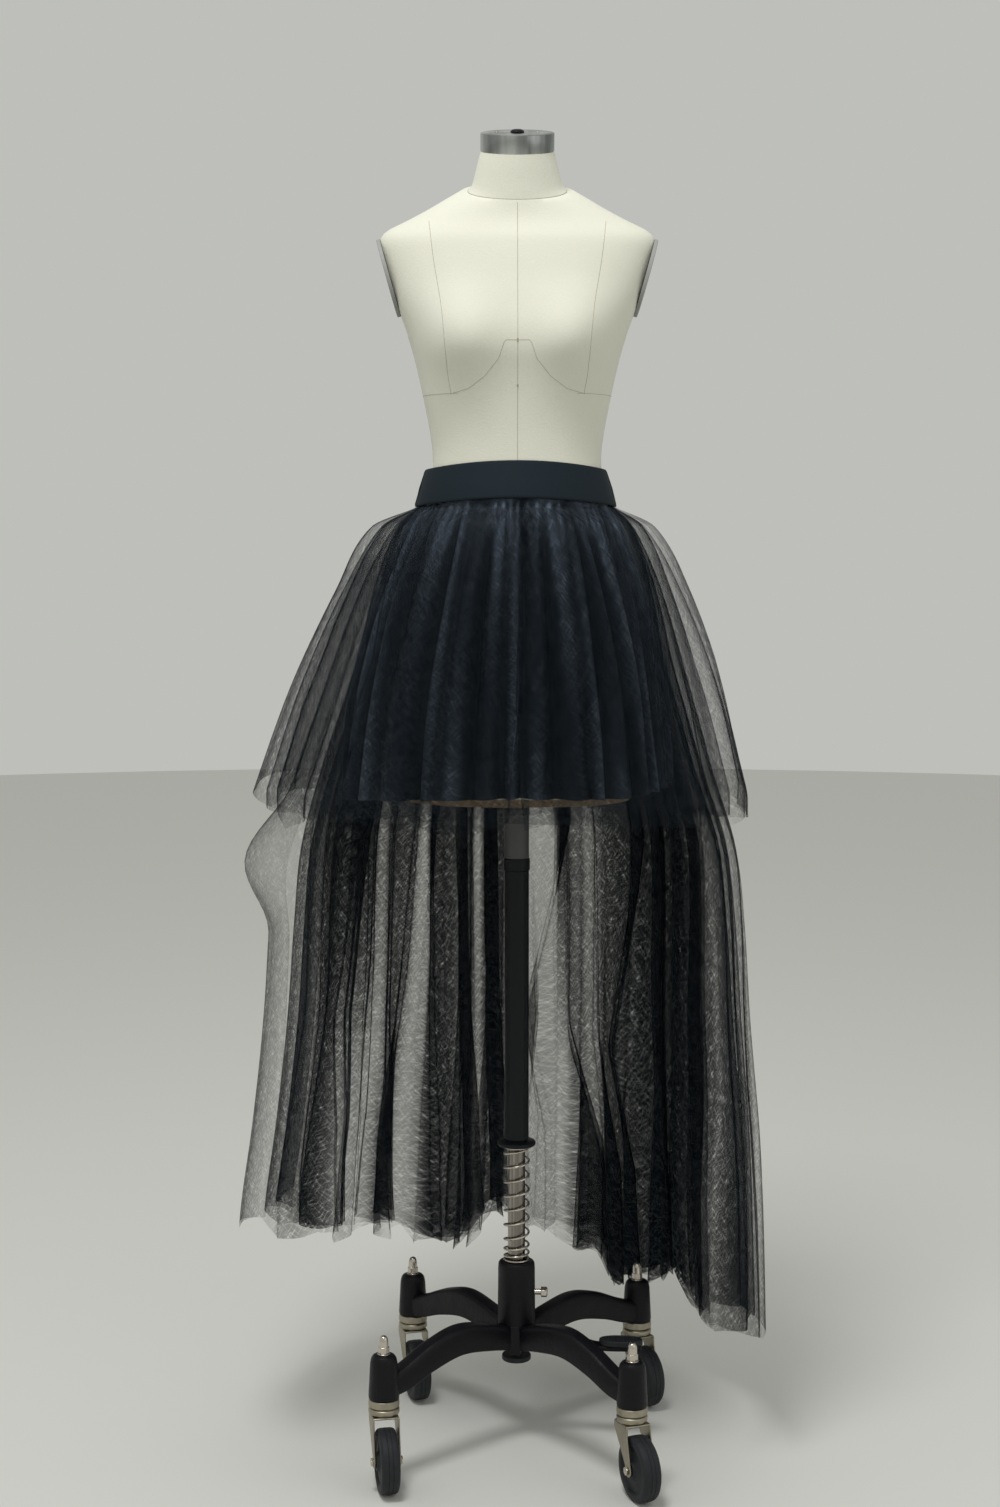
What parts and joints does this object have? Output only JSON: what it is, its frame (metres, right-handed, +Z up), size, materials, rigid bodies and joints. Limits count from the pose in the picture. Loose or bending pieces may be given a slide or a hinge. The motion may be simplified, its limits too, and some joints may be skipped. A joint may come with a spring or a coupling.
{
  "type": "tulle skirt on a dress form stand",
  "caption": "High-low gathered tulle skirt with a smooth waistband and short satin lining, on a limbless dress form with a wheeled cast stand.",
  "frame": {"origin": "on the floor, under the middle of the whole object's box", "axes": "+Z up the pole, the wearer's front towards -Y, +X to the viewer's right"},
  "size_m": [0.7361, 0.6535, 1.7839],
  "materials": {
    "band_cloth": "matte",
    "lining_satin": "satin",
    "black_tulle": "matte",
    "form_canvas": "matte",
    "arm_plate_board": "matte",
    "brushed_steel": "satin",
    "nickel": "polished",
    "black_paint": "gloss",
    "cast_iron_enamel": "satin",
    "yellow_zinc": "satin",
    "black_rubber": "matte"
  },
  "bodies": {
    "base": {"base_casting": "cast_iron_enamel", "pole_inner": "nickel", "set_bolt": "nickel", "foot_nut": "nickel", "foot_disc": "black_rubber", "pedal_pin": "nickel", "spring": "nickel", "caster_race_front_left": "yellow_zinc", "caster_race_front_right": "yellow_zinc", "caster_race_back_left": "yellow_zinc", "caster_race_back_right": "yellow_zinc", "acorn_nut_front_left": "nickel", "acorn_nut_front_right": "nickel", "acorn_nut_back_left": "nickel", "acorn_nut_back_right": "nickel"},
    "mast": {"pole_outer": "black_paint", "pole_collar": "black_paint", "pole_socket": "black_paint", "pole_flange": "black_paint", "form_bottom_plate": "form_canvas", "form_torso": "form_canvas", "form_neck": "form_canvas", "neck_cap": "brushed_steel", "neck_knob": "black_paint", "arm_plate_left": "arm_plate_board", "arm_plate_right": "arm_plate_board", "waistband_front": "band_cloth", "waistband_back": "band_cloth", "lining_front": "lining_satin", "lining_back": "lining_satin", "short_tulle_inner": "black_tulle", "short_tulle_outer": "black_tulle", "long_tulle_left": "black_tulle", "long_tulle_back": "black_tulle", "long_tulle_right": "black_tulle"},
    "pedal": {"pedal_lever": "cast_iron_enamel", "pedal_pad": "black_rubber"},
    "caster_front_left": {"caster_fork_front_left": "yellow_zinc", "caster_axle_front_left": "nickel"},
    "wheel_front_left": {"caster_wheel_front_left": "black_rubber"},
    "caster_front_right": {"caster_fork_front_right": "yellow_zinc", "caster_axle_front_right": "nickel"},
    "wheel_front_right": {"caster_wheel_front_right": "black_rubber"},
    "caster_back_left": {"caster_fork_back_left": "yellow_zinc", "caster_axle_back_left": "nickel"},
    "wheel_back_left": {"caster_wheel_back_left": "black_rubber"},
    "caster_back_right": {"caster_fork_back_right": "yellow_zinc", "caster_axle_back_right": "nickel"},
    "wheel_back_right": {"caster_wheel_back_right": "black_rubber"}
  },
  "joints": [
    {"name": "height_slide", "type": "slide", "parent": "base", "child": "mast", "axis": [0, 0, 1], "range_m": [0, 0.15]},
    {"name": "pedal_press", "type": "hinge", "parent": "base", "child": "pedal", "pos_m": [0.05669, -0.07286, 0.148], "axis": [0.0793, 0.9968, 0], "range_deg": [0, 8], "stiffness_Nm_per_rad": 4, "springref_deg": -11.46},
    {"name": "caster_swivel_front_left", "type": "hinge", "parent": "base", "child": "caster_front_left", "pos_m": [-0.15462, -0.21956, 0.1], "axis": [0, 0, 1], "continuous": true},
    {"name": "caster_swivel_front_right", "type": "hinge", "parent": "base", "child": "caster_front_right", "pos_m": [0.17036, -0.24542, 0.1], "axis": [0, 0, 1], "continuous": true},
    {"name": "caster_swivel_back_left", "type": "hinge", "parent": "base", "child": "caster_back_left", "pos_m": [-0.12876, 0.10542, 0.1], "axis": [0, 0, 1], "continuous": true},
    {"name": "caster_swivel_back_right", "type": "hinge", "parent": "base", "child": "caster_back_right", "pos_m": [0.19622, 0.07956, 0.1], "axis": [0, 0, 1], "continuous": true},
    {"name": "wheel_spin_front_left", "type": "hinge", "parent": "caster_front_left", "child": "wheel_front_left", "pos_m": [-0.14985, -0.24308, 0.0425], "axis": [0.9801, 0.1985, 0], "continuous": true},
    {"name": "wheel_spin_front_right", "type": "hinge", "parent": "caster_front_right", "child": "wheel_front_right", "pos_m": [0.17952, -0.2676, 0.0425], "axis": [0.9242, 0.3819, 0], "continuous": true},
    {"name": "wheel_spin_back_left", "type": "hinge", "parent": "caster_back_left", "child": "wheel_back_left", "pos_m": [-0.12236, 0.08228, 0.0425], "axis": [0.9639, 0.2664, 0], "continuous": true},
    {"name": "wheel_spin_back_right", "type": "hinge", "parent": "caster_back_right", "child": "wheel_back_right", "pos_m": [0.20615, 0.05771, 0.0425], "axis": [0.9103, 0.4139, 0], "continuous": true}
  ]
}
